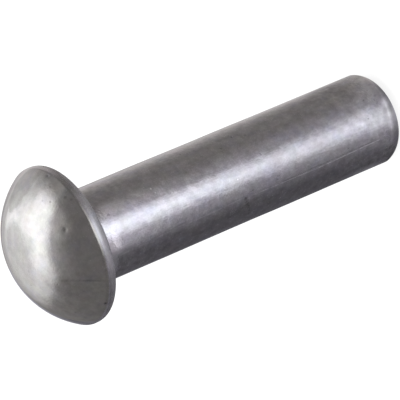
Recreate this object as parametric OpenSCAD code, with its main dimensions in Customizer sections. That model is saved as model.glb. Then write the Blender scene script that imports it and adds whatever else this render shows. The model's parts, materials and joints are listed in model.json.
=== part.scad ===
// Round head rivet: a solid rivet, cold headed in one piece from round wire.
//
// The rivet stands on its plain end with its head up and its shank along Z. The origin is
// on that axis at the bearing face, where the head sits down on the work. The solid is one
// outline revolved once. Each stretch of the outline has a module of its own, drawn as a
// half section with the radius along X and the height along Y.

/* [Shank] */
// Diameter of the shank
shank_d = 5; // [2.5:0.1:6]
// Length of the shank, from the bearing face to the plain end
shank_l = 20; // [6:0.5:50]
// Rounding of the edge at the plain end
end_r = 0.9; // [0.1:0.05:1.1]

/* [Head] */
// Diameter of the head
head_d = 8.6; // [7.6:0.1:13]
// Height of the head, from the bearing face to the crown
head_h = 3.2; // [2:0.1:3.9]
// Height of the rim, from the bearing face to the foot of the dome
rim_h = 0.65; // [0.5:0.05:1]
// Rounding of the rim's lower edge
rim_r = 0.45; // [0.05:0.05:0.5]
// Fillet between the shank and the bearing face
neck_r = 0.25; // [0.1:0.05:0.4]

/* [Hidden] */

// Bare drawn steel
steel = [0.56, 0.55, 0.56];

shank_radius = shank_d / 2;
head_radius = head_d / 2;

// The dome is the cap of a sphere. It stands on the rim band, so its height is what the
// band leaves of the head, and its foot is as wide as the head. Those two give the
// sphere's radius.
dome_h = head_h - rim_h;
dome_r = (head_radius * head_radius + dome_h * dome_h) / (2 * dome_h);

// Segments in a full turn
$fn = 180;

// The sliver between a square corner at the origin, whose sides run along +X and +Y, and
// the arc of radius r that touches both sides. Taken off an outer corner it rounds the
// edge, and added to an inner corner it makes a fillet.
module corner_sliver(r) {
    difference() {
        square(r);
        translate([r, r]) circle(r);
    }
}

// Head: a disc as wide as the head, cut by the dome's sphere, which meets its side at the
// top of the rim band. The disc is drawn taller than the crown, so that the sphere alone
// shapes the top. Its lower edge is rounded into the bearing face.
module head_section() {
    difference() {
        intersection() {
            square([head_radius, head_h + rim_h]);
            translate([0, head_h - dome_r]) circle(dome_r);
        }
        translate([head_radius, 0]) mirror([1, 0]) corner_sliver(rim_r);
    }
}

// Neck: the fillet in the corner between the bearing face and the shank.
module neck_section() {
    translate([shank_radius, 0]) mirror([0, 1]) corner_sliver(neck_r);
}

// Shank: flat at the plain end, with a rounded edge, and carried on up into the head as
// far as the rim band goes, because head and shank are one piece.
module shank_section() {
    difference() {
        translate([0, -shank_l]) square([shank_radius, shank_l + rim_h]);
        translate([shank_radius, -shank_l]) mirror([1, 0]) corner_sliver(end_r);
    }
}

// The rivet: its whole outline, turned about the axis.
module rivet() {
    color(steel)
        rotate_extrude() {
            head_section();
            neck_section();
            shank_section();
        }
}

rivet();
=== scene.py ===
"""Round head rivet: the visual model, its bare steel finish and the studio it stands in.

The rivet stands on its plain end, head up, with the origin at the centre of the bearing face and +Z along
its axis. Its form is one surface of revolution that Geometry Nodes sweep from a formula-built outline.
Lengths are in metres, or in millimetres where a docstring says so. Azimuths are in degrees from -Y towards
+X, and elevations in degrees above level.
"""

from __future__ import annotations

import json
import logging
import math
from dataclasses import dataclass
from enum import Enum
from functools import reduce
from typing import Any, Callable

import bmesh
import bpy
from mathutils import Matrix, Vector

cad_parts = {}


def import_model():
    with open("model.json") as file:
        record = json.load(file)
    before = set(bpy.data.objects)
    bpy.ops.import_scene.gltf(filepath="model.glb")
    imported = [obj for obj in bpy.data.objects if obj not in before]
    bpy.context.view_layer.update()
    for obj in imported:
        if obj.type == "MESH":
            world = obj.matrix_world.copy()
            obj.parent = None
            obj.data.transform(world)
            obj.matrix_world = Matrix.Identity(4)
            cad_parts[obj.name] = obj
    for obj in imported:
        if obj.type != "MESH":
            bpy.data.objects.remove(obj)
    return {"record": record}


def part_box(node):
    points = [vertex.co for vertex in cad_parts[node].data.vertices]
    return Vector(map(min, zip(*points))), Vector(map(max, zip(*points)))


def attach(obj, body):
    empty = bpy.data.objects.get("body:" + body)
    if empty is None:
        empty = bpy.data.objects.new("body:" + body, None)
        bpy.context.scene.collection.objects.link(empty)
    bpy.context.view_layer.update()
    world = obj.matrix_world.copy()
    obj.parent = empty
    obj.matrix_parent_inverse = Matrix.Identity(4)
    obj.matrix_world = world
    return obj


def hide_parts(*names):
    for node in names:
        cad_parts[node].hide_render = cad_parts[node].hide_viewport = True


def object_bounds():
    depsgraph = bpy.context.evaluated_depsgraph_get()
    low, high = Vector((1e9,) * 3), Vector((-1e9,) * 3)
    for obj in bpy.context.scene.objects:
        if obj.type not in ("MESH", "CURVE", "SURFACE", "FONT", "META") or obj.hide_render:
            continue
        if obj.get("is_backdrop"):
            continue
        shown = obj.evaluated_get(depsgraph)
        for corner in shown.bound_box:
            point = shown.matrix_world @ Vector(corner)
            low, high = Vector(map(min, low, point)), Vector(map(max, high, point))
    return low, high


LOG = logging.getLogger("rivet")
MM = 0.001
WHITE = (1.0, 1.0, 1.0, 1.0)
BACKGROUND_RAYS = ("Is Camera Ray", "Is Glossy Ray", "Is Transmission Ray")

Colour = tuple[float, float, float, float]
Point = tuple[float, float]
# A smooth step: where it starts and ends, then the levels before and after it unless they are 0 and 1.
Ramp = tuple[float, ...]
Socket = bpy.types.NodeSocket
Sockets = bpy.types.bpy_prop_collection
# What goes into a socket: another socket, or a number, tuple or data block.
Feed = Any
# The colour and the strength of a card's light.
Paint = tuple[Feed, Feed]


def blend(low: float, high: float, share: float) -> float:
    """Return the value that lies this share of the way from low to high."""
    return low + (high - low) * share


def toward(azimuth: float, elevation: float = 0.0) -> Vector:
    """Return the unit vector towards an azimuth and an elevation."""
    turn, rise = math.radians(azimuth), math.radians(elevation)
    return Vector((math.sin(turn) * math.cos(rise), -math.cos(turn) * math.cos(rise), math.sin(rise)))


def placed(name: str, data: bpy.types.ID) -> bpy.types.Object:
    """Put a new object in the scene.

    Args:
        name: Its name.
        data: The mesh, curve, camera or light that it holds.

    Returns:
        The object.
    """
    piece = bpy.data.objects.new(name, data)
    bpy.context.collection.objects.link(piece)
    return piece


class Tree:
    """A node tree, emptied, with short ways to add nodes and to join their sockets."""

    def __init__(self, block: bpy.types.NodeTree) -> None:
        """Keep the node tree and empty it."""
        self.block = block
        self.block.nodes.clear()

    @classmethod
    def of(cls, owner: bpy.types.Material | bpy.types.World) -> Tree:
        """Return a material's or a world's own tree."""
        owner.use_nodes = True
        return cls(owner.node_tree)

    def feed(self, socket: Socket, value: Feed) -> None:
        """Join a socket to another, or set its plain value.

        Args:
            socket: The input socket.
            value: What goes in.
        """
        if isinstance(value, Socket):
            self.block.links.new(value, socket)
        else:
            socket.default_value = value

    def add(self, kind: str, feeds: dict[str | int, Feed] | None = None, **settings: Any) -> Sockets:
        """Add one node.

        Args:
            kind: The node's type name.
            feeds: What goes into each input, by socket name or index.
            **settings: The node's own properties.

        Returns:
            Its output sockets, by name or index.
        """
        node = self.block.nodes.new(kind)
        for name, value in settings.items():
            setattr(node, name, value)
        for key, value in (feeds or {}).items():
            self.feed(node.inputs[key], value)
        return node.outputs

    def math(self, operation: str, *values: Feed) -> Socket:
        """Return the result of a Math node."""
        return self.add("ShaderNodeMath", dict(enumerate(values)), operation=operation)[0]

    def degrees(self, operation: str, *values: Feed) -> Socket:
        """Return the result of an angle's Math node in degrees."""
        return self.math("DEGREES", self.math(operation, *values))

    def product(self, *values: Feed) -> Socket:
        """Return the values multiplied together."""
        return reduce(lambda done, value: self.math("MULTIPLY", done, value), values)

    def total(self, *values: Feed) -> Socket:
        """Return the values added together."""
        return reduce(lambda done, value: self.math("ADD", done, value), values)

    def weighed(self, base: Feed, *parts: tuple[Feed, Feed]) -> Socket:
        """Return the base with each part added, a part being a value and its share."""
        return reduce(lambda done, part: self.math("MULTIPLY_ADD", *part, done), parts, base)

    def left(self, value: Feed) -> Socket:
        """Return what is left of 1 when the value is taken away."""
        return self.math("SUBTRACT", 1.0, value)

    def vector(self, operation: str, *values: Feed, **named: Feed) -> Socket:
        """Return the result of a Vector Math node, which a few operations give as a number."""
        outputs = self.add("ShaderNodeVectorMath", {**dict(enumerate(values)), **named}, operation=operation)
        return outputs["Value" if operation in ("DISTANCE", "DOT_PRODUCT") else "Vector"]

    def step(self, value: Feed, low: float, high: float, before: Feed = 0.0, after: Feed = 1.0) -> Socket:
        """Return a smooth step along a value, from the level before low to the level after high."""
        feeds = {"Value": value, "From Min": low, "From Max": high, "To Min": before, "To Max": after}
        return self.add("ShaderNodeMapRange", feeds, interpolation_type="SMOOTHSTEP")[0]

    def fade(self, away: Feed, core: float, reach: float, level: float) -> Socket:
        """Return the level, full up to the core and gone at the reach."""
        return self.step(away, core, reach, level, 0.0)

    def mix(self, share: Feed, first: Feed, second: Feed) -> Socket:
        """Return a mix of two numbers, with this share of the second."""
        return self.add("ShaderNodeMix", {0: share, 2: first, 3: second})[0]

    def tint(self, share: Feed, first: Feed, second: Feed) -> Socket:
        """Return a mix of two colours, with this share of the second."""
        return self.add("ShaderNodeMix", {0: share, 6: first, 7: second}, data_type="RGBA")[2]

    def parts(self, vector: Feed) -> tuple[Socket, Socket, Socket]:
        """Return a vector's three parts."""
        return tuple(self.add("ShaderNodeSeparateXYZ", {0: vector}))

    def place(self) -> Socket:
        """Return the Object coordinates in millimetres."""
        return self.vector("SCALE", self.add("ShaderNodeTexCoord")["Object"], Scale=1.0 / MM)

    def bearing(self, x: Feed, y: Feed) -> tuple[Socket, Socket]:
        """Return a place's azimuth and its distance from the axis."""
        radius = self.math("SQRT", self.weighed(self.product(y, y), (x, x)))
        return self.degrees("ARCTAN2", x, self.product(y, -1.0)), radius

    def background(self) -> Socket:
        """Return 1 for the rays that see a background, and 0 for the others."""
        rays = map(self.add("ShaderNodeLightPath").get, BACKGROUND_RAYS)
        return self.math("MINIMUM", self.total(*rays), 1.0)


@dataclass(frozen=True)
class Viewpoint:
    """Where the camera stands, how it is turned, and its lens.

    The aim lies on the camera's axis, and the roll about that axis lays the rivet across the view.
    """

    aim: tuple[float, float, float] = (-0.494 * MM, 0.0, -7.965 * MM)
    distance: float = 183.78 * MM
    elevation: float = 29.40
    roll: float = -113.04
    lens: float = 318.67
    sensor: float = 36.0
    nearest: float = 10.0 * MM
    farthest: float = 10.0

    def build(self) -> None:
        """Make the camera, and make it the scene's own."""
        rise = math.radians(self.elevation)
        turn = math.radians(self.roll)
        back = toward(0.0, self.elevation)
        level = Vector((1.0, 0.0, 0.0))
        upright = Vector((0.0, math.sin(rise), math.cos(rise)))
        across = level * math.cos(turn) + upright * math.sin(turn)
        along = upright * math.cos(turn) - level * math.sin(turn)
        lens = bpy.data.cameras.new("camera")
        lens.lens = self.lens
        lens.sensor_width = self.sensor
        lens.clip_start = self.nearest
        lens.clip_end = self.farthest
        axes = Matrix((across, along, back)).transposed().to_4x4()
        camera = placed("camera", lens)
        camera.matrix_world = Matrix.Translation(Vector(self.aim) + back * self.distance) @ axes
        bpy.context.scene.camera = camera


@dataclass(frozen=True)
class Outline:
    """The rivet's half section: its sizes, and how many steps each part of it is drawn in.

    The end's rounding leaves the shank at the end break and meets the plain end at the end stop, two angles
    in degrees.
    """

    shank_radius: float
    shank_length: float
    head_radius: float
    head_height: float
    rim_height: float = 0.65 * MM
    rim_rounding: float = 0.45 * MM
    rim_break: float = 0.34 * MM
    neck_rounding: float = 0.25 * MM
    end_rounding: float = 0.72 * MM
    end_break: float = 18.0
    end_stop: float = 80.0
    dome_steps: int = 104
    rim_steps: int = 8
    band_steps: int = 3
    corner_steps: int = 14
    seat_steps: int = 8
    shank_steps: int = 150
    end_steps: int = 30
    face_steps: int = 16

    @property
    def dome_radius(self) -> float:
        """Return the radius of the sphere that the dome is part of."""
        rise = self.head_height - self.rim_height
        return (self.head_radius**2 + rise**2) / (2.0 * rise)

    @staticmethod
    def arc(centre: Point, radius: float, start: float, stop: float, steps: int) -> list[Point]:
        """Return an arc's points after its first, between two angles in degrees from outward towards +Z."""
        angles = [math.radians(blend(start, stop, i / steps)) for i in range(1, steps + 1)]
        return [(centre[0] + radius * math.cos(a), centre[1] + radius * math.sin(a)) for a in angles]

    @staticmethod
    def line(start: Point, stop: Point, steps: int) -> list[Point]:
        """Return the points of a straight stretch in equal parts, without its first."""
        shares = [i / steps for i in range(1, steps + 1)]
        return [(blend(start[0], stop[0], s), blend(start[1], stop[1], s)) for s in shares]

    def sheared_edge(self) -> list[Point]:
        """Draw the rounded edge of the plain end, which leaves the shank at a faint corner.

        Returns:
            Its points after the first.
        """
        first = math.radians(self.end_break)
        last = math.radians(self.end_stop)
        radius = self.end_rounding / (math.sin(last) - math.sin(first))
        top = self.end_rounding - self.shank_length
        centre = (self.shank_radius - radius * math.cos(first), top + radius * math.sin(first))
        return self.arc(centre, radius, -self.end_break, -self.end_stop, self.end_steps)

    def points(self) -> list[Point]:
        """Draw the half section, from the crown to the middle of the plain end.

        Returns:
            Its points as radius and height.
        """
        centre = (0.0, self.head_height - self.dome_radius)
        soft = self.rim_break
        rise = math.sqrt((self.dome_radius - soft) ** 2 - (self.head_radius - soft) ** 2)
        foot = math.degrees(math.atan2(rise, self.head_radius - soft))
        edge = self.rim_rounding
        neck = self.neck_rounding
        points = [(0.0, self.head_height)]
        points += self.arc(centre, self.dome_radius, 90.0, foot, self.dome_steps)
        points += self.arc((self.head_radius - soft, centre[1] + rise), soft, foot, 0.0, self.rim_steps)
        points += self.line(points[-1], (self.head_radius, edge), self.band_steps)
        points += self.arc((self.head_radius - edge, edge), edge, 0.0, -90.0, self.corner_steps)
        points += self.line(points[-1], (self.shank_radius + neck, 0.0), self.seat_steps)
        points += self.arc((self.shank_radius + neck, -neck), neck, 90.0, 180.0, self.corner_steps)
        top = self.end_rounding - self.shank_length
        points += self.line(points[-1], (self.shank_radius, top), self.shank_steps)
        points += self.sheared_edge()
        points += self.line(points[-1], (0.0, -self.shank_length), self.face_steps)
        return points


@dataclass(frozen=True)
class Pit:
    """One small dent in the dome: its place as seen from the dome's centre, and its size."""

    azimuth: float
    elevation: float
    radius: float
    depth: float


PITS: tuple[Pit, ...] = (
    Pit(-56.8, 29.2, 0.13 * MM, 0.025 * MM),
    Pit(56.1, 31.6, 0.13 * MM, 0.022 * MM),
    Pit(10.6, 44.4, 0.16 * MM, 0.018 * MM),
    Pit(9.8, 43.6, 0.36 * MM, 0.008 * MM),
    Pit(-41.7, 79.6, 0.20 * MM, 0.006 * MM),
)


@dataclass(frozen=True)
class RivetBody:
    """The rivet's one solid, swept by Geometry Nodes round its axis.

    The run-out and the tilt in degrees set the head slightly off the shank, and the neck drop is the height
    in which they fade. The head and the shank have slight waves, which their ramps fade out.
    """

    outline: Outline
    segments: int = 256
    run_out: float = 0.134 * MM
    tilt: float = 0.97
    neck_drop: float = 1.2 * MM
    head_wave: float = 0.018 * MM
    head_wave_length: float = 3.2 * MM
    head_fade: Ramp = (0.0, 0.45 * MM)
    shank_wave: float = 0.030 * MM
    shank_wave_length: float = 2.4 * MM
    shank_wave_squeeze: float = 0.42
    neck_fade: Ramp = (-3.0 * MM, -0.3 * MM, 1.0, 0.0)
    end_fade: Ramp = (-19.9 * MM, -19.0 * MM)
    wave_detail: float = 3.0
    wave_gain: float = 0.5
    seed: int = 7
    merge_distance: float = 1e-7
    pits: tuple[Pit, ...] = PITS

    def profile(self) -> bpy.types.Object:
        """Draw the half section as a poly curve in the XZ plane.

        Returns:
            The curve object that the sweep is applied to.
        """
        points = self.outline.points()
        curve = bpy.data.curves.new("outline", "CURVE")
        curve.dimensions = "3D"
        spline = curve.splines.new("POLY")
        spline.points.add(len(points) - 1)
        for point, (radius, height) in zip(spline.points, points):
            point.co = (radius, 0.0, height, 1.0)
        return placed("outline", curve)

    def inputs(self, material: bpy.types.Material) -> dict[str, Any]:
        """Return the sweep's named inputs and their values."""
        return {
            "Segments": self.segments,
            "Run-out": self.run_out,
            "Lean": math.tan(math.radians(self.tilt)),
            "Neck Drop": self.neck_drop,
            "Head Wave": self.head_wave,
            "Head Wave Length": self.head_wave_length,
            "Shank Wave": self.shank_wave,
            "Shank Wave Length": self.shank_wave_length,
            "Seed": self.seed,
            "Material": material,
        }

    def sweep(self, inputs: dict[str, Any]) -> bpy.types.NodeTree:
        """Build the tree that turns the outline round the axis and gives the surface its slight waves.

        Args:
            inputs: The tree's named inputs and their values.

        Returns:
            The geometry node group.
        """
        group = bpy.data.node_groups.new("rivet sweep", "GeometryNodeTree")
        face = group.interface
        kinds = {int: "NodeSocketInt", float: "NodeSocketFloat", bpy.types.Material: "NodeSocketMaterial"}
        face.new_socket("Outline", in_out="INPUT", socket_type="NodeSocketGeometry")
        for name, value in inputs.items():
            face.new_socket(name, in_out="INPUT", socket_type=kinds[type(value)])
        face.new_socket("Rivet", in_out="OUTPUT", socket_type="NodeSocketGeometry")
        tree = Tree(group)
        given = tree.add("NodeGroupInput")
        waved = self.waved(tree, given, self.turned(tree, given))
        smooth = tree.add("GeometryNodeSetShadeSmooth", {0: waved})[0]
        real = tree.add("GeometryNodeRealizeInstances", {0: smooth})[0]
        dressed = tree.add("GeometryNodeSetMaterial", {"Geometry": real, "Material": given["Material"]})
        tree.add("NodeGroupOutput", {"Rivet": dressed[0]})
        return group

    def turned(self, tree: Tree, given: Sockets) -> Socket:
        """Turn the outline into a closed surface, with the head off the shank's axis and leaning.

        Args:
            tree: The tree.
            given: The group's inputs.

        Returns:
            The surface, with its seam and both poles merged.
        """
        outline = {"Geometry": given["Outline"]}
        count = tree.add("GeometryNodeAttributeDomainSize", outline, component="CURVE")[0]
        columns = tree.total(given["Segments"], 1.0)
        grid = tree.add("GeometryNodeMeshGrid", {"Vertices X": columns, "Vertices Y": count})
        index = tree.add("GeometryNodeInputIndex")[0]
        column = tree.math("FLOOR", tree.math("DIVIDE", tree.total(index, 0.5), count))
        row = tree.math("SUBTRACT", index, tree.product(column, count))
        position = tree.add("GeometryNodeInputPosition")[0]
        point = {**outline, "Value": position, "Index": row}
        sample = tree.add("GeometryNodeSampleIndex", point, data_type="FLOAT_VECTOR", domain="POINT")
        out, _, height = tree.parts(sample[0])
        share = tree.math("FRACT", tree.math("DIVIDE", column, given["Segments"]))
        turn = tree.product(share, math.tau)
        on_head = tree.step(tree.math("DIVIDE", height, given["Neck Drop"]), -1.0, 0.0)
        across = tree.product(out, tree.math("COSINE", turn))
        lean = tree.product(given["Lean"], on_head)
        run_out = tree.product(given["Run-out"], on_head)
        shift = tree.math("SUBTRACT", run_out, tree.product(height, lean))
        place = tree.add(
            "ShaderNodeCombineXYZ",
            {
                0: tree.total(across, shift),
                1: tree.product(out, tree.math("SINE", turn)),
                2: tree.weighed(height, (across, lean)),
            },
        )[0]
        moved = tree.add("GeometryNodeSetPosition", {"Geometry": grid["Mesh"], "Position": place})[0]
        outward = tree.add("GeometryNodeFlipFaces", {"Mesh": moved})[0]
        merge = {"Geometry": outward, "Distance": self.merge_distance}
        return tree.add("GeometryNodeMergeByDistance", merge)[0]

    def waved(self, tree: Tree, given: Sockets, surface: Socket) -> Socket:
        """Give the turned surface the slight waves of a blow and of drawing, and its pits.

        Args:
            tree: The tree.
            given: The group's inputs.
            surface: The turned surface.

        Returns:
            The finished surface.
        """
        place = tree.add("GeometryNodeInputPosition")[0]
        height = tree.parts(place)[2]
        head = tree.product(
            self.ripple(tree, place, given["Head Wave Length"], given["Seed"]),
            tree.step(height, *self.head_fade),
            given["Head Wave"],
        )
        squeezed = tree.vector("MULTIPLY", place, (1.0, 1.0, self.shank_wave_squeeze))
        shank = tree.product(
            self.ripple(tree, squeezed, given["Shank Wave Length"], given["Seed"]),
            tree.step(height, *self.neck_fade),
            tree.step(height, *self.end_fade),
            given["Shank Wave"],
        )
        rise = tree.total(head, shank)
        for pit in self.pits:
            rise = tree.math("SUBTRACT", rise, self.dent(tree, place, pit))
        normal = tree.add("GeometryNodeInputNormal")[0]
        offset = tree.vector("SCALE", normal, Scale=rise)
        return tree.add("GeometryNodeSetPosition", {"Geometry": surface, "Offset": offset})[0]

    def ripple(self, tree: Tree, place: Socket, length: Feed, seed: Feed) -> Socket:
        """Add a smooth noise.

        Args:
            tree: The tree.
            place: The point that the noise is read at.
            length: The length of one wave.
            seed: The fixed seed.

        Returns:
            The noise, between -1 and 1.
        """
        scale = tree.math("DIVIDE", 1.0, length)
        layers = {"Detail": self.wave_detail, "Roughness": self.wave_gain}
        feeds = {"Vector": place, "W": seed, "Scale": scale, **layers}
        noise = tree.add("ShaderNodeTexNoise", feeds, noise_dimensions="4D")[0]
        return tree.weighed(-1.0, (noise, 2.0))

    def dent(self, tree: Tree, place: Socket, pit: Pit) -> Socket:
        """Return how deep one pit is at a point."""
        away = tree.vector("DISTANCE", place, self.on_dome(pit.azimuth, pit.elevation))
        return tree.fade(away, 0.0, pit.radius, pit.depth)

    def on_dome(self, azimuth: float, elevation: float) -> Vector:
        """Return the point of the dome in a direction from the dome's centre."""
        centre = Vector((self.run_out, 0.0, self.outline.head_height - self.outline.dome_radius))
        return centre + toward(azimuth, elevation) * self.outline.dome_radius

    def build(self, material: bpy.types.Material) -> bpy.types.Object:
        """Sweep the outline and keep the result as a plain mesh.

        Args:
            material: The rivet's finish.

        Returns:
            The rivet's object, at the origin, unturned and unscaled.
        """
        inputs = self.inputs(material)
        profile = self.profile()
        modifier = profile.modifiers.new("sweep", "NODES")
        modifier.node_group = self.sweep(inputs)
        for item in modifier.node_group.interface.items_tree:
            if item.name in inputs:
                modifier[item.identifier] = inputs[item.name]
        graph = bpy.context.evaluated_depsgraph_get()
        mesh = bpy.data.meshes.new_from_object(profile.evaluated_get(graph))
        mesh.name = "round_head_rivet"
        profile.modifiers.remove(modifier)
        bpy.data.objects.remove(profile)
        return placed(mesh.name, mesh)


@dataclass(frozen=True)
class Reading:
    """What the finish reads at a point of the surface, in millimetres and degrees.

    The two zones are 1 on the head and on the dome. The grain lies everywhere, and the streaks of the wire's
    drawing on the shank alone.
    """

    place: Socket
    x: Socket
    height: Socket
    azimuth: Socket
    radius: Socket
    on_head: Socket
    on_dome: Socket
    grain: Socket
    streak: Socket


class Tone(Enum):
    """Whether a mark shows lighter or darker than the steel round it."""

    LIGHT = "light"
    DARK = "dark"


LIGHT, DARK = Tone


@dataclass(frozen=True)
class Scratch:
    """A fine line in the surface, straight between two places given as azimuth and height in millimetres."""

    start: Point
    stop: Point
    width: float
    tone: Tone
    level: float
    tip: Ramp = (0.42, 0.50, 1.0, 0.0)

    def draw(self, tree: Tree, at: Reading) -> Socket:
        """Work out how strongly the line shows at a point.

        Args:
            tree: The finish's tree.
            at: The point.

        Returns:
            The line's strength.
        """
        rise = self.stop[1] - self.start[1]
        along = tree.math("DIVIDE", tree.math("SUBTRACT", at.height, self.start[1]), rise)
        middle = tree.weighed(self.start[0], (along, self.stop[0] - self.start[0]))
        turn = tree.math("RADIANS", tree.math("SUBTRACT", at.azimuth, middle))
        away = tree.math("ABSOLUTE", tree.product(turn, at.radius))
        line = tree.fade(away, 0.0, self.width, self.level)
        ends = tree.math("ABSOLUTE", tree.math("SUBTRACT", along, 0.5))
        return tree.product(line, tree.step(ends, *self.tip))


@dataclass(frozen=True)
class Spot:
    """A small round mark: its azimuth, and its height, size and radius from the axis in millimetres."""

    azimuth: float
    height: float
    size: float
    tone: Tone
    level: float
    radius: float = 2.5

    def draw(self, tree: Tree, at: Reading) -> Socket:
        """Return how strongly the mark shows at a point."""
        centre = toward(self.azimuth) * self.radius + Vector((0.0, 0.0, self.height))
        return tree.fade(tree.vector("DISTANCE", at.place, centre), 0.0, self.size, self.level)


@dataclass(frozen=True)
class Noise:
    """A noise that swings about zero, roughly between -1 and 1.

    The scale is in blotches per millimetre, detail counts the finer layers and gain is how strong each of
    them is. A squeeze below 1 draws the blotches out along the shank. The offset moves the noise along X.
    """

    scale: float
    detail: float
    gain: float
    squeeze: float = 1.0
    offset: float = 0.0
    swing: float = 3.0

    def draw(self, tree: Tree, place: Feed) -> Socket:
        """Add the noise.

        Args:
            tree: The finish's tree.
            place: The point that it is read at, in millimetres.

        Returns:
            The noise at the point.
        """
        spot = tree.vector("MULTIPLY_ADD", place, (1.0, 1.0, self.squeeze), (self.offset, 0.0, 0.0))
        feeds = {"Vector": spot, "Scale": self.scale, "Detail": self.detail, "Roughness": self.gain}
        noise = tree.add("ShaderNodeTexNoise", feeds)[0]
        return tree.product(tree.math("SUBTRACT", noise, 0.5), self.swing)


@dataclass(frozen=True)
class Scatter:
    """Small marks strewn over the surface: cells per millimetre, size, the share left bare, and level."""

    scale: float
    size: float
    bare: float
    level: float
    heart: float = 0.2

    def draw(self, tree: Tree, place: Feed) -> Socket:
        """Work out how strongly the marks show at a point.

        Args:
            tree: The finish's tree.
            place: The point in millimetres.

        Returns:
            The marks' strength.
        """
        cells = tree.add("ShaderNodeTexVoronoi", {"Vector": place, "Scale": self.scale})
        lot = tree.add("ShaderNodeSeparateColor", {0: cells["Color"]})[0]
        mark = tree.fade(cells["Distance"], self.size * self.heart, self.size, self.level)
        return tree.product(tree.math("GREATER_THAN", lot, self.bare), mark)


# Long handling lines on the shank, then two faint ones on the dome.
SCRATCHES: tuple[Scratch, ...] = (
    Scratch((-33.4, -6.0), (-30.8, -9.3), 0.040, LIGHT, 0.22),
    Scratch((-32.2, -9.6), (-33.4, -14.0), 0.035, LIGHT, 0.45),
    Scratch((-33.8, -13.6), (-30.6, -18.4), 0.040, LIGHT, 0.75),
    Scratch((-31.6, -11.5), (-29.2, -18.0), 0.050, DARK, 0.30),
    Scratch((-36.0, -1.8), (-30.0, -5.6), 0.050, DARK, 0.22),
    Scratch((-37.0, -1.2), (-33.0, -3.4), 0.040, LIGHT, 0.25),
    Scratch((30.0, -5.0), (33.0, -9.0), 0.030, DARK, 0.15),
    Scratch((150.0, -3.0), (146.0, -15.0), 0.035, LIGHT, 0.35),
    Scratch((-118.0, -6.0), (-121.0, -18.0), 0.040, DARK, 0.30),
    Scratch((-34.6, 2.42), (-32.9, 1.70), 0.120, DARK, 0.16),
    Scratch((-32.9, 1.86), (-34.2, 0.66), 0.110, DARK, 0.26),
)
# A die's seam mark across the shank, with a dull halo.
SEAM: tuple[Spot, ...] = (
    *(Spot(-33.0 - 4.2 * i, -9.32 - 0.05 * i, 0.17, DARK, 0.55 - 0.05 * i) for i in range(7)),
    *(Spot(-38.0 - 3.0 * i, -7.9 - 0.32 * i, 0.60, DARK, 0.17) for i in range(4)),
)
# Pinholes, darkened with painted shade in their hollows, and bright flecks.
NICKS: tuple[Spot, ...] = (
    Spot(48.0, -10.2, 0.10, DARK, 0.40),
    Spot(42.5, -10.9, 0.09, DARK, 0.40),
    Spot(-22.6, -11.6, 0.10, DARK, 0.40),
    Spot(-25.3, -11.4, 0.09, DARK, 0.35),
    Spot(-16.1, -7.8, 0.08, DARK, 0.35),
    Spot(-19.5, -8.2, 0.08, DARK, 0.35),
    Spot(-6.9, -9.1, 0.07, LIGHT, 0.60),
    Spot(24.0, -4.3, 0.08, LIGHT, 0.70),
    Spot(17.0, -4.4, 0.06, LIGHT, 0.50),
    Spot(14.8, -1.4, 0.09, DARK, 0.30),
    Spot(-55.5, 0.69, 0.13, DARK, 0.60, 4.13),
    Spot(57.3, 0.87, 0.12, DARK, 0.45, 4.31),
    Spot(12.6, 1.71, 0.16, DARK, 0.35, 3.54),
    Spot(-32.8, 3.12, 0.13, DARK, 0.20, 0.79),
    Spot(48.2, 1.16, 0.12, DARK, 0.25, 4.09),
    Spot(45.7, 1.76, 0.10, DARK, 0.22, 3.58),
    Spot(39.0, 1.58, 0.11, DARK, 0.28, 3.73),
    Spot(32.7, 1.02, 0.13, DARK, 0.30, 4.16),
    Spot(28.6, 0.88, 0.12, DARK, 0.25, 4.24),
)
# Broader bright and dull places: painted highlights near the neck and along the end, where the shank's long
# highlight falls, and lighter and darker patches in between, at the end and on the dome.
PAINTED_LIGHT_AND_PATCHES: tuple[Spot, ...] = (
    Spot(-21.0, -0.90, 0.85, LIGHT, 0.75),
    Spot(14.0, -0.60, 0.80, LIGHT, 0.12),
    Spot(20.0, -17.8, 1.00, LIGHT, 0.28),
    Spot(30.0, -18.5, 0.80, LIGHT, 0.16),
    Spot(30.0, -16.8, 0.70, LIGHT, 0.12),
    Spot(14.0, -16.6, 0.60, LIGHT, 0.14),
    Spot(26.7, -17.7, 0.40, LIGHT, 0.20),
    Spot(-2.5, -19.1, 0.70, DARK, 0.18),
    Spot(2.5, -17.9, 0.50, DARK, 0.14),
    Spot(0.6, -18.7, 0.28, LIGHT, 0.16),
    Spot(-22.6, -17.9, 0.60, LIGHT, 0.18),
    Spot(12.0, -19.3, 0.42, LIGHT, 0.45),
    Spot(-14.2, -3.1, 0.30, DARK, 0.20),
    Spot(-13.6, -9.2, 0.35, DARK, 0.18),
    Spot(-4.5, -12.3, 0.45, LIGHT, 0.14),
    Spot(-4.0, -13.3, 0.45, LIGHT, 0.14),
    Spot(12.6, 1.66, 0.40, LIGHT, 0.10, 3.54),
    Spot(-1.7, 2.18, 0.20, DARK, 0.10, 2.98),
    Spot(-16.0, 1.80, 0.22, LIGHT, 0.08, 3.37),
)


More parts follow.
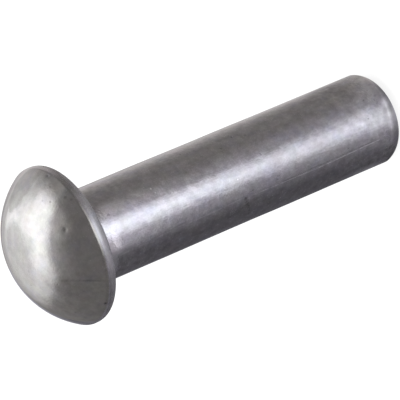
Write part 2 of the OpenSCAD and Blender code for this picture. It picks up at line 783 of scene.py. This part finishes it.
@dataclass(frozen=True)
class BareSteel:
    """The finish: cold headed steel with no coating, burnished on the dome and drawn along the shank. Its
    colour also holds painted highlights and painted shade.

    A ramp runs along the height in millimetres, except crown_roughness along the radius, side_contrast
    across X, burr_glint_side round the azimuth, and stain, blueing, cast and gaps along their noises. A
    contrast is a share of the colour, and a depth is in millimetres.
    """

    base: Colour = (0.570, 0.553, 0.545, 1.0)
    stained: Colour = (0.545, 0.518, 0.492, 1.0)
    blued: Colour = (0.540, 0.535, 0.575, 1.0)
    pink: Colour = (1.008, 0.985, 1.010, 1.0)
    green: Colour = (0.994, 1.012, 0.994, 1.0)
    stain: Ramp = (0.0, 0.6, 0.0, 0.75)
    blueing: Ramp = (-0.6, 0.0, 0.65, 0.0)
    cast: Ramp = (-0.5, 0.5)

    head_zone: Ramp = (-0.05, 0.05)
    dome_zone: Ramp = (0.66, 0.80)
    grain: Noise = Noise(2.3, 5.0, 0.66)
    drawn: Noise = Noise(6.5, 4.0, 0.62, squeeze=0.11)
    cloud: Noise = Noise(1.5, 4.0, 0.60, squeeze=0.7)
    hue: Noise = Noise(1.4, 3.0, 0.60, offset=40.0)
    swell: Noise = Noise(2.3, 3.0, 0.50)
    fine: Noise = Noise(9.0, 3.0, 0.60)

    scratches: tuple[Scratch, ...] = SCRATCHES
    scratch_gaps: Noise = Noise(3.7, 1.0, 0.50)
    gaps: Ramp = (-0.5, 0.2, 0.35, 1.0)
    # Among the spots are painted highlights and painted shade as well as marks.
    spots: tuple[Spot, ...] = SEAM + NICKS + PAINTED_LIGHT_AND_PATCHES
    specks: Scatter = Scatter(1.9, 0.15, 0.84, 0.34)
    flecks: Scatter = Scatter(2.3, 0.13, 0.88, 0.32)
    # Painted shade that darkens the rim band between the bearing face and the dome.
    rim_shade: float = 0.13
    # The sheared end's slant, a painted highlight along its burred edge, and painted shade on its rounding.
    shear_slant: float = 0.104
    burr_glint_rise: Ramp = (-19.24, -19.18)
    burr_glint_fall: Ramp = (-19.16, -19.08)
    burr_glint_side: Ramp = (20.0, 50.0, 1.0, 0.2)
    burr_glint_level: float = 0.16
    burr_glint_grain: float = 0.12
    end_shade: Ramp = (-19.40, -19.20, 0.26, 0.0)

    grain_contrast: Ramp = (-17.5, -15.0, 0.48, 0.29)
    side_contrast: Ramp = (-2.3, -1.3, 1.35, 1.0)
    head_contrast: float = -0.09
    cloud_contrast: float = 0.04
    streak_contrast: float = 0.06

    shank_roughness: Ramp = (-19.3, -17.5, 0.30, 0.20)
    neck_polish: Ramp = (-2.2, -1.0, 1.0, 0.6)
    rim_roughness: Ramp = (0.34, 0.56, 0.60, 0.20)
    crown_roughness: Ramp = (0.9, 1.8, 0.20, 0.075)
    grain_roughness: float = 0.05
    mark_roughness: float = 0.3

    swell_depth: float = 0.0050
    head_swell_depth: float = -0.0007
    swell_fade: Ramp = (-7.0, -2.5, 1.0, 0.6)
    fine_depth: float = 0.0010
    head_fine: float = -0.6
    streak_depth: float = 0.0012
    dark_depth: float = -0.006
    light_depth: float = 0.003

    def build(self) -> bpy.types.Material:
        """Make the material.

        Returns:
            The steel.
        """
        material = bpy.data.materials.new("bare_steel")
        tree = Tree.of(material)
        at = self.read(tree)
        light, dark = self.marks(tree, at)
        steel = tree.add(
            "ShaderNodeBsdfPrincipled",
            {
                "Base Color": self.colour(tree, at, light, dark),
                "Metallic": 1.0,
                "Roughness": self.roughness(tree, at, dark),
                "Normal": self.relief(tree, at, light, dark),
            },
        )
        tree.add("ShaderNodeOutputMaterial", {"Surface": steel[0]})
        return material

    def read(self, tree: Tree) -> Reading:
        """Read the point of the surface.

        Args:
            tree: The tree.

        Returns:
            Its place, its zone and the two noises that several parts of the finish share.
        """
        place = tree.place()
        x, y, height = tree.parts(place)
        azimuth, radius = tree.bearing(x, y)
        on_head = tree.step(height, *self.head_zone)
        on_dome = tree.step(height, *self.dome_zone)
        grain = self.grain.draw(tree, place)
        streak = tree.product(self.drawn.draw(tree, place), tree.left(on_head))
        return Reading(place, x, height, azimuth, radius, on_head, on_dome, grain, streak)

    def marks(self, tree: Tree, at: Reading) -> tuple[Socket, Socket]:
        """Draw every mark: scratches, spots, specks, a painted highlight along the sheared end's burred
        edge, and painted shade on the rim and the end.

        Args:
            tree: The tree.
            at: The point.

        Returns:
            How strongly the light marks and the dark marks show.
        """
        gaps = tree.step(self.scratch_gaps.draw(tree, at.place), *self.gaps)
        drawn = [(mark.tone, tree.product(mark.draw(tree, at), gaps)) for mark in self.scratches]
        drawn += [(mark.tone, mark.draw(tree, at)) for mark in self.spots]
        strongest: dict[Tone, Feed] = {LIGHT: 0.0, DARK: 0.0}
        for tone, level in drawn:
            strongest[tone] = tree.math("MAXIMUM", strongest[tone], level)
        slant = tree.weighed(at.height, (at.x, self.shear_slant))
        # A painted highlight: a thin light band along the sheared end's burred edge. It is full within 20
        # degrees of azimuth zero on the camera's side, a fifth as strong beyond 50, and also raised a little
        # in the relief.
        rise = tree.step(slant, *self.burr_glint_rise)
        burr_glint = tree.math("SUBTRACT", rise, tree.step(slant, *self.burr_glint_fall))
        burr_glint = tree.product(burr_glint, tree.step(tree.math("ABSOLUTE", at.azimuth), *self.burr_glint_side))
        burr_glint = tree.product(burr_glint, tree.weighed(self.burr_glint_level, (at.grain, self.burr_glint_grain)))
        # Painted shade on the rim band below the dome.
        rim = tree.product(at.on_head, tree.left(at.on_dome), self.rim_shade)
        # Painted shade on the rounding of the sheared end.
        end = tree.step(slant, *self.end_shade)
        light = tree.total(strongest[LIGHT], self.flecks.draw(tree, at.place), burr_glint)
        dark = tree.total(strongest[DARK], self.specks.draw(tree, at.place), rim, end)
        return light, dark

    def colour(self, tree: Tree, at: Reading, light: Feed, dark: Feed) -> Socket:
        """Work out the steel's colour: clouds of stain and blueing, grain, and marks, painted highlights and
        painted shade among them.

        Args:
            tree: The tree.
            at: The point.
            light: The light marks.
            dark: The dark marks.

        Returns:
            The colour.
        """
        cloud = self.cloud.draw(tree, at.place)
        tint = tree.tint(tree.step(cloud, *self.stain), self.base, self.stained)
        tint = tree.tint(tree.step(cloud, *self.blueing), tint, self.blued)
        hue = self.hue.draw(tree, at.place)
        cast = tree.tint(tree.step(hue, *self.cast), self.pink, self.green)
        contrast = tree.step(at.height, *self.grain_contrast)
        contrast = tree.weighed(contrast, (at.on_head, self.head_contrast))
        contrast = tree.product(contrast, tree.step(at.x, *self.side_contrast))
        shade = tree.weighed(
            1.0,
            (at.grain, contrast),
            (cloud, self.cloud_contrast),
            (at.streak, self.streak_contrast),
        )
        shade = tree.product(tree.total(shade, light), tree.left(dark))
        return tree.vector("SCALE", tree.vector("MULTIPLY", tint, cast), Scale=shade)

    def roughness(self, tree: Tree, at: Reading, dark: Feed) -> Socket:
        """Work out the roughness, zone by zone and with the grain on top.

        Args:
            tree: The tree.
            at: The point.
            dark: The dark marks.

        Returns:
            The roughness.
        """
        shank = tree.step(at.height, *self.shank_roughness)
        shank = tree.product(shank, tree.step(at.height, *self.neck_polish))
        rim = tree.step(at.height, *self.rim_roughness)
        dome = tree.step(at.radius, *self.crown_roughness)
        zone = tree.mix(at.on_head, shank, tree.mix(at.on_dome, rim, dome))
        return tree.weighed(zone, (at.grain, self.grain_roughness), (dark, self.mark_roughness))

    def relief(self, tree: Tree, at: Reading, light: Feed, dark: Feed) -> Socket:
        """Work out the fine relief: unevenness, drawing lines and marks.

        Args:
            tree: The tree.
            at: The point.
            light: The light marks.
            dark: The dark marks.

        Returns:
            The normal.
        """
        swell = tree.product(self.swell.draw(tree, at.place), tree.step(at.height, *self.swell_fade))
        swell_depth = tree.weighed(self.swell_depth, (at.on_head, self.head_swell_depth))
        fine = self.fine.draw(tree, at.place)
        fine = tree.product(fine, tree.weighed(1.0, (at.on_head, self.head_fine)))
        height = tree.weighed(
            tree.product(swell, swell_depth),
            (fine, self.fine_depth),
            (at.streak, self.streak_depth),
            (dark, self.dark_depth),
            (light, self.light_depth),
        )
        return tree.add("ShaderNodeBump", {"Strength": 1.0, "Distance": MM, "Height": height})[0]


@dataclass(frozen=True)
class Glow:
    """A soft round patch on the tent, seen from the rivet: of light, or of shade where it is used as a flag.

    The patch is full up to its core and ends at its reach, both angles from its centre in degrees.
    """

    azimuth: float
    elevation: float
    core: float
    reach: float
    level: float

    def draw(self, tree: Tree, way: Socket) -> Socket:
        """Return the patch's strength at the point that lies this way, a unit vector, from the rivet."""
        cosine = tree.vector("DOT_PRODUCT", way, toward(self.azimuth, self.elevation))
        return tree.fade(tree.degrees("ARCCOSINE", cosine), self.core, self.reach, self.level)


GLOWS: tuple[Glow, ...] = (
    Glow(140.0, 38.0, 57.0, 67.0, 0.36),
    Glow(165.0, 44.0, 22.0, 45.0, 0.54),
    Glow(79.0, 53.0, 13.0, 46.0, 0.90),
    Glow(-115.0, 82.0, 0.0, 38.0, 0.75),
    Glow(141.0, 35.0, 0.0, 95.0, 0.29),
    Glow(150.0, 24.0, 3.0, 14.0, 0.16),
    Glow(144.0, 41.0, 4.0, 17.0, 0.12),
    Glow(-138.0, 37.0, 3.0, 12.0, 0.08),
    Glow(159.0, 11.0, 2.0, 7.0, 0.24),
)
FLAGS: tuple[Glow, ...] = (
    Glow(-22.0, 2.0, 82.0, 99.0, 0.74),
    Glow(32.0, -44.0, 84.0, 104.0, 0.82),
    Glow(174.0, 36.0, 18.0, 25.0, 0.30),
    Glow(136.0, 4.6, 18.6, 20.0, 0.24),
    Glow(138.0, 23.0, 4.5, 6.5, 0.12),
    Glow(-174.0, -2.0, 6.0, 16.0, 0.20),
    Glow(163.0, -17.0, 4.0, 14.0, 0.15),
    Glow(172.0, 8.0, 7.0, 17.0, 0.13),
    Glow(166.0, 21.0, 3.0, 11.0, 0.12),
    Glow(160.0, 61.0, 4.0, 13.0, 0.14),
    Glow(108.0, 24.0, 3.0, 13.0, 0.17),
    Glow(-108.0, 57.5, 4.5, 8.0, 0.20),
)
WINDOWS: tuple[Glow, ...] = (
    Glow(-14.0, 4.0, 8.0, 22.0, 0.80),
    Glow(0.0, 8.0, 13.0, 21.0, 1.25),
    Glow(24.0, 3.0, 8.0, 22.0, 0.42),
    Glow(-42.0, 2.0, 3.0, 11.0, 0.10),
    Glow(50.0, 71.0, 2.0, 14.0, 0.08),
)


@dataclass(frozen=True)
class Swath:
    """A part of the floor card that gives light, as wide as its window in azimuth.

    The window is full up to its core and ends at its reach, both half widths in degrees. The ramps run along
    the radius in millimetres. A level below zero takes light away.
    """

    azimuth: float
    core: float
    reach: float
    level: float
    ramps: tuple[Ramp, ...]

    def draw(self, tree: Tree, azimuth: Feed, radius: Feed) -> Socket:
        """Work out the swath's strength at a point.

        Args:
            tree: The card's tree.
            azimuth: The point's azimuth.
            radius: Its distance from the axis.

        Returns:
            The strength.
        """
        away = tree.math("WRAP", tree.math("SUBTRACT", azimuth, self.azimuth), 180.0, -180.0)
        window = tree.fade(tree.math("ABSOLUTE", away), self.core, self.reach, self.level)
        return tree.product(window, *(tree.step(radius, *ramp) for ramp in self.ramps))


BEYOND: Ramp = (39.0, 41.5)
INSIDE: Ramp = (39.0, 41.5, 1.0, 0.0)
SHOULDER: tuple[Ramp, ...] = ((10.0, 36.0, 1.0, 1.2), (2.3, 5.0, 0.4, 1.0), (39.0, 41.5, 1.0, 0.25))
SEAT: tuple[Ramp, ...] = ((34.5, 36.5), (38.0, 39.5, 1.0, 0.0))
# The strip that the shank mirrors as its long highlight, and what lies round it, from the foot outwards.
STRIP = Swath(-6.5, 0.0, 31.5, 1.0, ((37.0, 41.0, 1.28, 1.02),))
SWATHS: tuple[Swath, ...] = (
    Swath(-140.0, 15.0, 45.0, 0.10, ((3.0, 8.0, 1.0, 0.0),)),
    Swath(-26.0, 4.0, 58.0, 0.20, SHOULDER),
    Swath(18.0, 6.0, 38.0, 0.15, SHOULDER),
    Swath(42.0, 6.0, 24.0, 0.11, ((31.5, 35.0),)),
    Swath(-34.0, 12.0, 24.0, 0.45, SEAT),
    Swath(22.0, 10.0, 40.0, 0.16, SEAT),
    Swath(-8.0, 25.0, 70.0, 0.42, ((34.5, 38.0), INSIDE)),
    Swath(-140.0, 50.0, 100.0, 0.07, (BEYOND,)),
    Swath(60.0, 25.0, 45.0, -0.05, (BEYOND,)),
    Swath(-162.0, 4.0, 14.0, -0.11, (BEYOND,)),
    Swath(110.0, 6.0, 22.0, 0.09, (BEYOND,)),
    Swath(-40.0, 8.0, 22.0, 0.13, (BEYOND,)),
    Swath(14.0, 5.0, 18.0, 0.28, (BEYOND, (80.0, 120.0, 1.0, 0.0))),
)


@dataclass(frozen=True)
class Lamp:
    """A large soft lamp: its name, the way it hangs in, and its size, distance and power."""

    name: str
    azimuth: float
    elevation: float
    power: float
    size: float = 0.5
    distance: float = 0.6

    def build(self) -> None:
        """Hang the lamp, where neither the camera nor the steel shows it."""
        out = toward(self.azimuth, self.elevation)
        data = bpy.data.lights.new(self.name, "AREA")
        data.shape = "DISK"
        data.size = self.size
        data.energy = self.power
        lamp = placed(self.name, data)
        lamp.location = out * self.distance
        lamp.rotation_euler = out.to_track_quat("Z", "Y").to_euler()
        lamp.visible_glossy = False
        lamp.visible_camera = False


@dataclass(frozen=True)
class Studio:
    """A pale floor, plain soft light, and the tent and floor card that the steel mirrors.

    The floor card's ramps run along the radius in millimetres, and its sides round the azimuth.
    """

    floor_level: float
    floor_radius: float = 1.4
    floor_tone: Colour = (0.9, 0.9, 0.9, 1.0)
    floor_white: float = 0.88
    world_light: float = 0.6
    round_steps: int = 96
    lamps: tuple[Lamp, ...] = (Lamp("key_lamp", 135.0, 55.0, 6.0), Lamp("fill_lamp", -60.0, 60.0, 4.0))

    tent_radius: float = 0.16
    tent_columns: int = 64
    tent_rings: int = 32
    tent_grey: float = 0.185
    tent_shade: Colour = (1.02, 0.99, 0.985, 1.0)
    tent_light: Colour = (0.985, 1.005, 1.005, 1.0)
    glows: tuple[Glow, ...] = GLOWS
    flags: tuple[Glow, ...] = FLAGS
    windows: tuple[Glow, ...] = WINDOWS

    card_lift: float = 0.05 * MM
    card_blue: Colour = (0.965, 0.945, 1.075, 1.0)
    card_warm: Colour = (1.02, 0.98, 0.99, 1.0)
    strip_blue: Colour = (0.93, 0.97, 1.09, 1.0)
    warm_side: Ramp = (10.0, 70.0)
    strip: Swath = STRIP
    strip_near: Ramp = (2.1, 3.1, 0.36, 0.65)
    strip_far: Ramp = (10.0, 36.0, 0.0, 0.40)
    strip_drift: Ramp = (14.0, 34.0, 0.0, 1.6)
    swaths: tuple[Swath, ...] = SWATHS
    base_side: Ramp = (-110.0, 45.0, 0.11, 0.235)
    back_side: Ramp = (-174.0, -150.0, 0.22, 0.0)
    far_side: Ramp = (92.0, 165.0)
    far_fall: Ramp = (142.0, 172.0, 0.55, 0.06)
    foot_side: Ramp = (20.0, 70.0)
    foot: Ramp = (2.3, 6.0, 0.30, 0.0)
    outer: Ramp = (39.0, 41.5, 0.0, 0.05)

    def build(self) -> None:
        """Make the world, the floor, the lamps and the cards."""
        self.world()
        self.floor()
        for lamp in self.lamps:
            lamp.build()
        self.tent()
        self.floor_card()

    def world(self) -> None:
        """Make a white surround that lights the scene softly."""
        world = bpy.data.worlds.new("surround")
        bpy.context.scene.world = world
        tree = Tree.of(world)
        strength = tree.weighed(self.world_light, (tree.background(), 1.0 - self.world_light))
        white = tree.add("ShaderNodeBackground", {"Color": WHITE, "Strength": strength})
        tree.add("ShaderNodeOutputWorld", {"Surface": white[0]})

    @staticmethod
    def stand(name: str, form: bmesh.types.BMesh, material: bpy.types.Material) -> bpy.types.Object:
        """Put a form in the scene as part of the stage.

        Args:
            name: Its name.
            form: Its faces, which are used up.
            material: What it is made of.

        Returns:
            The object.
        """
        mesh = bpy.data.meshes.new(name)
        form.to_mesh(mesh)
        form.free()
        mesh.materials.append(material)
        piece = placed(name, mesh)
        piece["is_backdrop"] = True
        return piece

    def disc(self, radius: float, level: float) -> bmesh.types.BMesh:
        """Make a round level plate.

        Args:
            radius: Its radius.
            level: Its height.

        Returns:
            Its one face.
        """
        form = bmesh.new()
        lift = Matrix.Translation((0.0, 0.0, level))
        bmesh.ops.create_circle(form, cap_ends=True, segments=self.round_steps, radius=radius, matrix=lift)
        return form

    def floor(self) -> None:
        """Make the pale floor, which shows as white and keeps the rivet's shadow."""
        material = bpy.data.materials.new("pale_floor")
        tree = Tree.of(material)
        lit = tree.add("ShaderNodeBsdfDiffuse", {"Color": self.floor_tone})[0]
        white = tree.add("ShaderNodeEmission", {"Color": WHITE, "Strength": 1.0})[0]
        share = tree.product(tree.background(), self.floor_white)
        both = tree.add("ShaderNodeMixShader", {0: share, 1: lit, 2: white})
        tree.add("ShaderNodeOutputMaterial", {"Surface": both[0]})
        self.stand("floor", self.disc(self.floor_radius, self.floor_level), material)

    def card(self, name: str, form: bmesh.types.BMesh, paint: Callable[[Tree], Paint]) -> None:
        """Put up a card that gives light and shows in reflections alone.

        Args:
            name: The name of the card and of its material.
            form: Its faces.
            paint: The method that draws its colour and strength.
        """
        material = bpy.data.materials.new(name)
        tree = Tree.of(material)
        colour, strength = paint(tree)
        light = tree.add("ShaderNodeEmission", {"Color": colour, "Strength": strength})
        tree.add("ShaderNodeOutputMaterial", {"Surface": light[0]})
        material.cycles.emission_sampling = "NONE"
        card = self.stand(name, form, material)
        for view in ("camera", "diffuse", "shadow", "transmission", "volume_scatter"):
            setattr(card, f"visible_{view}", False)

    def tent(self) -> None:
        """Make the grey tent over the rivet, with its windows of light."""
        form = bmesh.new()
        columns, rings = self.tent_columns, self.tent_rings
        bmesh.ops.create_uvsphere(form, u_segments=columns, v_segments=rings, radius=self.tent_radius)
        self.card("tent", form, self.tent_glow)

    def tent_glow(self, tree: Tree) -> Paint:
        """Draw the tent's light: the glows, less the flags in front of them, and the windows.

        Args:
            tree: The tent's tree.

        Returns:
            Its colour and its strength.
        """
        way = tree.vector("NORMALIZE", tree.place())
        strength = tree.total(*(glow.draw(tree, way) for glow in self.glows))
        strength = tree.product(strength, *(tree.left(flag.draw(tree, way)) for flag in self.flags))
        window: Feed = 0.0
        for pane in self.windows:
            window = tree.math("MAXIMUM", window, pane.draw(tree, way))
        strength = tree.total(strength, window)
        tint = tree.tint(tree.math("MINIMUM", strength, 1.0), self.tent_shade, self.tent_light)
        return tint, tree.total(strength, self.tent_grey)

    def floor_card(self) -> None:
        """Lay the card round the rivet's foot that the shank mirrors."""
        disc = self.disc(self.tent_radius, self.floor_level + self.card_lift)
        self.card("floor_card", disc, self.floor_glow)

    def floor_glow(self, tree: Tree) -> Paint:
        """Draw the floor card's light: the strip, the swaths round it and the rest of the bench.

        Args:
            tree: The card's tree.

        Returns:
            Its colour and its strength.
        """
        x, y, _ = tree.parts(tree.place())
        azimuth, radius = tree.bearing(x, y)
        drifted = tree.math("SUBTRACT", azimuth, tree.step(radius, *self.strip_drift))
        along = tree.total(tree.step(radius, *self.strip_near), tree.step(radius, *self.strip_far))
        strip = tree.product(self.strip.draw(tree, drifted, radius), along)
        strength = tree.total(
            strip,
            *(swath.draw(tree, azimuth, radius) for swath in self.swaths),
            tree.step(azimuth, *self.base_side),
            tree.step(azimuth, *self.back_side),
            tree.product(tree.step(azimuth, *self.far_side), tree.step(azimuth, *self.far_fall)),
            tree.product(tree.step(azimuth, *self.foot_side), tree.step(radius, *self.foot)),
            tree.step(radius, *self.outer),
        )
        tint = tree.tint(tree.step(azimuth, *self.warm_side), self.card_blue, self.card_warm)
        return tree.tint(tree.math("MINIMUM", strip, 1.0), tint, self.strip_blue), strength


def sizes(frame: dict[str, Any]) -> Outline:
    """Read the rivet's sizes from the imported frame.


    Returns:
        The outline with the rivet's sizes.
    """
    low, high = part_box("rivet")
    pin = next(mount for mount in frame["record"]["mounts"] if mount["name"] == "shank")
    radius = pin["dims"]["r_mm"] * MM
    return Outline(shank_radius=radius, shank_length=-low.z, head_radius=high.x, head_height=high.z)


def main() -> None:
    """Build the rivet and its studio."""
    logging.basicConfig(level=logging.INFO, format="%(name)s: %(message)s")
    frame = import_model()
    cad_low, cad_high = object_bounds()
    Viewpoint().build()
    bpy.context.scene.view_settings.view_transform = "Standard"
    outline = sizes(frame)
    rivet = RivetBody(outline).build(BareSteel().build())
    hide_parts("rivet")
    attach(rivet, "root")
    LOG.info("%s: %d faces", rivet.name, len(rivet.data.polygons))
    Studio(floor_level=cad_low.z).build()


if __name__ == "__main__":
    main()
